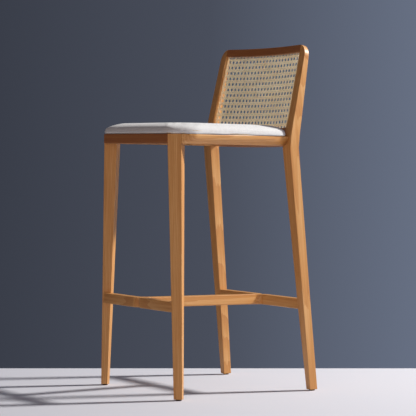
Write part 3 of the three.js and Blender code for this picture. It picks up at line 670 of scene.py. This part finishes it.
middlesAcross = spans(weave["firstAcross"], weave["pitchAcross"], -lastAcross, lastAcross)
middlesUp = spans(weave["firstUp"], weave["pitchUp"], lowestUp, highestUp)
rows = range(-weave["diagonalReach"], weave["diagonalReach"] + 1)
uprights = keptPaths([uprightPath(middle, sign) for middle in middlesAcross for sign in (-1, 1)])
crosswise = keptPaths([crosswisePath(middle, sign) for middle in middlesUp for sign in (-1, 1)])
risers = keptPaths([diagonalPath(1, row) for row in rows])
fallers = keptPaths([diagonalPath(-1, row) for row in rows])
caneUprights = strandPiece("cane_uprights", uprights, weave["strand"])
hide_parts("cane_panel")
strandPiece("cane_crosswise", crosswise, weave["strand"])
strandPiece("cane_risers", risers, weave["diagonal"])
strandPiece("cane_fallers", fallers, weave["diagonal"])

print("cushion")
pad = {
    "voxel": 4 * mm,
    "lower": 3.2 * mm,  # the dome starts this much lower, for the filling to push up
    "heldBelow": 3 * mm,  # height above the seat's plane under which the cover is held
    "pressure": 3.0,
    "mass": 0.3,
    "stretching": 25,
    "bending": 4,
    "frames": 20,
    "mostMove": 1.6 * mm,
    "smoothing": 10,
    "borderUp": 12 * mm,  # height at which the cloth turns down at the borders
}
fall = 0.02  # metres that the seat drops for each metre towards the back
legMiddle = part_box("front_seat_rail")[0].y + 27 * mm  # middle of the front legs at the seat


def seatPlane(y):
    return seatTop - fall * (y - legMiddle)


def joinedCopy(name, members):
    bm = bmesh.new()
    for member in members:
        bm.from_mesh(nodes[member].data)
    bmesh.ops.remove_doubles(bm, verts=bm.verts, dist=0.01 * mm)
    mesh = bpy.data.meshes.new(name)
    bm.to_mesh(mesh)
    bm.free()
    piece = bpy.data.objects.new(name, mesh)
    bpy.context.scene.collection.objects.link(piece)
    return piece


def applyModifier(piece, kind, **settings):
    modifier = piece.modifiers.new(kind.lower(), kind)
    for key, value in settings.items():
        setattr(modifier, key, value)
    with bpy.context.temp_override(object=piece, active_object=piece, selected_objects=[piece]):
        bpy.ops.object.modifier_apply(modifier=modifier.name)


def largestShell(piece):
    # keeps the outer skin and drops any inner pocket that the remesh left
    bm = bmesh.new()
    bm.from_mesh(piece.data)
    left, shells = set(bm.verts), []
    while left:
        stack, shell = [left.pop()], []
        while stack:
            vertex = stack.pop()
            shell.append(vertex)
            for edge in vertex.link_edges:
                other = edge.other_vert(vertex)
                if other in left:
                    left.remove(other)
                    stack.append(other)
        shells.append(shell)
    shells.sort(key=len)
    for shell in shells[:-1]:
        bmesh.ops.delete(bm, geom=shell, context="VERTS")
    bm.to_mesh(piece.data)
    bm.free()


def inflate(piece, rest, pinned):
    # cloth with pressure for some frames, then each point's travel is capped
    group = piece.vertex_groups.new(name="held")
    group.add(pinned, 1.0, "REPLACE")
    modifier = piece.modifiers.new("cloth", "CLOTH")
    settings = modifier.settings
    settings.quality = 5
    settings.mass = pad["mass"]
    settings.tension_stiffness = settings.compression_stiffness = pad["stretching"]
    settings.bending_stiffness = pad["bending"]
    settings.use_pressure = True
    settings.uniform_pressure_force = pad["pressure"]
    settings.vertex_group_mass = "held"
    settings.effector_weights.gravity = 0
    scene = bpy.context.scene
    modifier.point_cache.frame_start = 1
    modifier.point_cache.frame_end = pad["frames"]
    for number in range(1, pad["frames"] + 1):
        scene.frame_set(number)
    moved = piece.evaluated_get(bpy.context.evaluated_depsgraph_get()).to_mesh()
    new = np.zeros(len(rest) * 3, np.float32)
    moved.vertices.foreach_get("co", new)
    new = new.reshape(-1, 3)
    step = new - rest
    length = np.linalg.norm(step, axis=1, keepdims=True)
    new = rest + step * np.minimum(1, pad["mostMove"] / np.maximum(length, 1e-9))
    piece.modifiers.remove(modifier)
    piece.vertex_groups.clear()
    piece.data.vertices.foreach_set("co", new.astype(np.float32).ravel())
    piece.data.update()
    scene.frame_set(1)


def makeCushion():
    piece = joinedCopy("seat_cushion", ["seat_cover", "seat_foam", "seat_board", "dust_cover"])
    applyModifier(piece, "REMESH", mode="VOXEL", voxel_size=pad["voxel"])
    largestShell(piece)
    mesh = piece.data
    rest = np.array([v.co for v in mesh.vertices], np.float64)
    above = rest[:, 2] - seatPlane(rest[:, 1])
    bottom = above < pad["heldBelow"]
    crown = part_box("seat_cover")[1].z - seatTop
    rest[:, 2] -= pad["lower"] * np.clip(above / crown, 0, 1)
    mesh.vertices.foreach_set("co", rest.astype(np.float32).ravel())
    mesh.update()
    inflate(piece, rest, [int(i) for i in np.nonzero(bottom)[0]])
    smooth = piece.modifiers.new("smooth", "SMOOTH")
    smooth.factor, smooth.iterations = 0.5, pad["smoothing"]
    applyModifier(piece, "SUBSURF", levels=1, render_levels=1)
    with bpy.context.temp_override(object=piece, active_object=piece, selected_objects=[piece]):
        bpy.ops.object.modifier_apply(modifier="smooth")
    return piece


def finishCushion(piece):
    mesh = piece.data
    mesh.shade_smooth()
    mesh.materials.clear()
    mesh.materials.append(linen)
    layer = mesh.attributes.new("weave", "FLOAT_VECTOR", "POINT")
    for vertex, item in zip(mesh.vertices, layer.data):
        # the cloth runs flat over the top and turns down at the borders
        drop = max(0.0, seatPlane(vertex.co.y) + pad["borderUp"] - vertex.co.z)
        x, y = vertex.co.xy + drop * vertex.normal.xy
        item.vector = (x, y, vertex.co.z * 0.2)
    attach(piece, "root")
    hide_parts("seat_cover", "seat_foam")


cushion = makeCushion()
finishCushion(cushion)

lining = {"cell": 9 * mm, "sag": 3 * mm, "thickness": 0.5 * mm}


def cutAcross(bm, low, high, axis):
    # cuts a flat sheet into narrow bands along one axis
    for place in np.arange(low[axis] + lining["cell"], high[axis], lining["cell"]):
        origin, normal = Vector(low), Vector((0, 0, 0))
        origin[axis] = place
        normal[axis] = 1
        sheet = bm.verts[:] + bm.edges[:] + bm.faces[:]
        bmesh.ops.bisect_plane(bm, geom=sheet, plane_co=origin, plane_no=normal)


def dustCover():
    # black cambric stapled under the board; it hangs a little slack in the middle
    low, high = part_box("dust_cover")
    bm = mergedCopy("dust_cover")
    bm.normal_update()
    others = [f for f in bm.faces if f.normal.z < 0.9]  # all but the upper side
    bmesh.ops.delete(bm, geom=others, context="FACES")
    cutAcross(bm, low, high, 0)
    cutAcross(bm, low, high, 1)
    flatArea = sum(f.calc_area() for f in bm.faces)
    middle, half = (low + high) / 2, (high - low) / 2
    for vertex in bm.verts:
        x, y = (vertex.co.x - middle.x) / half.x, (vertex.co.y - middle.y) / half.y
        vertex.co.z -= lining["sag"] * (1 - min(1, x * x)) * (1 - min(1, y * y))
    bmesh.ops.solidify(bm, geom=bm.faces[:], thickness=lining["thickness"])
    piece = newPiece("cambric_lining", bm, cambric, ["dust_cover"])


dustCover()

keptFinish = {"glide": nylonGlide, "nail": zincSteel, "screw": zincSteel}


def keepNode(node, material):
    mesh = nodes[node].data
    mesh.materials.clear()
    mesh.materials.append(material)


for name in nodes:
    for word, material in keptFinish.items():
        if word in name:
            keepNode(name, material)
for number, name in enumerate(sorted(nodes)):
    if any(word in name for word in ("corner_block", "dowel", "loose_tenon", "seat_board")):
        inner = woodCopy(name, innerTimber, (1, 0, 0), 20 + number)
        if name == "seat_board":
            inner.data.materials[0] = plyTimber

reedShape = {
    "behind": (2.3 * mm, 0.3 * mm),  # rear and front face, behind the panel
    "bottom": 6.5 * mm,  # lower edge of the bottom spline, above the panel's lower edge
    "top": 8.5 * mm,  # lower edge of the top spline, below the panel's upper edge
    "height": 2.4 * mm,
    "edge": 0.6 * mm,
}
for number, side in enumerate(sides):
    spline = f"cane_{side}_spline"
    reed = newPiece(f"reed_{side}_spline", mergedCopy(spline), caneSkin, [spline])
    grainAlong(reed, leanUp, 14 + number)
reedForward = [panelForward[0] - gap for gap in reedShape["behind"]]
reedLow = {"bottom": panelUp[0] + reedShape["bottom"], "top": panelUp[1] - reedShape["top"]}
for word, low in reedLow.items():
    bar = curvedBar(f"reed_{word}_spline", reedForward, (low, low + reedShape["height"]), caneSkin,
                    [f"cane_{word}_spline"], edge=reedShape["edge"])
    grainAlong(bar, (1, 0, 0), 3)

print("stage")
stage = {"width": 9.0, "behind": 0.46, "front": 4.0}
camera = {
    "place": (4.6294, -2.9555, 0.7095),
    "azimuth": 57.33,
    "pitch": -1.984,
    "lens": 164.79,
    "sensor": 36,
    "far": 50,
}
lamps = {
    "aim": 0.55,  # height of the point that the lamps look at
    "distance": 6.0,
    "keyToward": (0.374, 0.927),  # in plan
    "keyElevation": 34,
    "keySize": 0.6,
    "keyPower": 590,
    "fillToward": (1, -0.8, 0.4),
    "fillSize": 4.0,
    "fillPower": 66,
}
backdrop = {"lighterTowards": (0.54, 0.84, 0), "reach": 0.11}


def makeStage():
    turn = Matrix.Rotation(math.radians(camera["azimuth"]), 4, "Z")
    bm = bmesh.new()
    bmesh.ops.create_grid(bm, x_segments=1, y_segments=1, size=0.5)
    bmesh.ops.scale(bm, vec=(stage["width"], stage["behind"] + stage["front"], 1), verts=bm.verts)
    bmesh.ops.translate(bm, vec=(0, (stage["behind"] - stage["front"]) / 2, 0), verts=bm.verts)
    bmesh.ops.transform(bm, matrix=turn, verts=bm.verts)
    mesh = bpy.data.meshes.new("floor")
    bm.to_mesh(mesh)
    bm.free()
    floor = bpy.data.objects.new("floor", mesh)
    bpy.context.scene.collection.objects.link(floor)
    paint = newMaterial("pale_floor")
    shade(paint, Base_Color=hexColor("#d3d3db"), Roughness=0.75)
    mesh.materials.append(paint)


def addLight(name, toward, size, power, color):
    data = bpy.data.lights.new(name, "AREA")
    data.shape = "DISK"
    data.size = size
    data.energy = power
    data.color = hexColor(color)[:3]
    light = bpy.data.objects.new(name, data)
    direction = Vector(toward).normalized()
    light.location = Vector((0, 0, lamps["aim"])) + direction * lamps["distance"]
    light.rotation_euler = direction.to_track_quat("Z", "Y").to_euler()
    bpy.context.scene.collection.objects.link(light)


def makeLights():
    elevation = math.radians(lamps["keyElevation"])
    east, north = lamps["keyToward"]
    key = (east * math.cos(elevation), north * math.cos(elevation), math.sin(elevation))
    addLight("key", key, lamps["keySize"], lamps["keyPower"], "#fffdf9")
    addLight("fill", lamps["fillToward"], lamps["fillSize"], lamps["fillPower"], "#ffd9b4")
    # a slate backdrop that is lighter towards the window's side
    world = bpy.data.worlds.new("studio")
    bpy.context.scene.world = world
    world.use_nodes = True
    sky = addNode(world, "ShaderNodeTexCoord").outputs["Generated"]
    across = addNode(world, "ShaderNodeVectorMath", {0: sky, 1: backdrop["lighterTowards"]},
                     operation="DOT_PRODUCT")
    share = addNode(world, "ShaderNodeMapRange",
                    {"Value": across.outputs["Value"],
                     "From Min": -backdrop["reach"], "From Max": backdrop["reach"]})
    ramp = addNode(world, "ShaderNodeValToRGB", {"Fac": share.outputs["Result"]})
    slate = setRamp(ramp, [(0.0, "#3a3e49"), (0.5, "#494e5b"), (1.0, "#677083")])
    world.node_tree.links.new(slate, world.node_tree.nodes["Background"].inputs["Color"])
    bpy.context.scene.view_settings.view_transform = "Standard"


def makeCamera():
    data = bpy.data.cameras.new("camera")
    data.lens = camera["lens"]
    data.sensor_width = camera["sensor"]
    data.clip_end = camera["far"]
    seen = bpy.data.objects.new("camera", data)
    seen.location = camera["place"]
    seen.rotation_euler = (math.radians(90 + camera["pitch"]), 0, math.radians(camera["azimuth"]))
    bpy.context.scene.collection.objects.link(seen)
    bpy.context.scene.camera = seen


makeStage()
makeLights()
makeCamera()
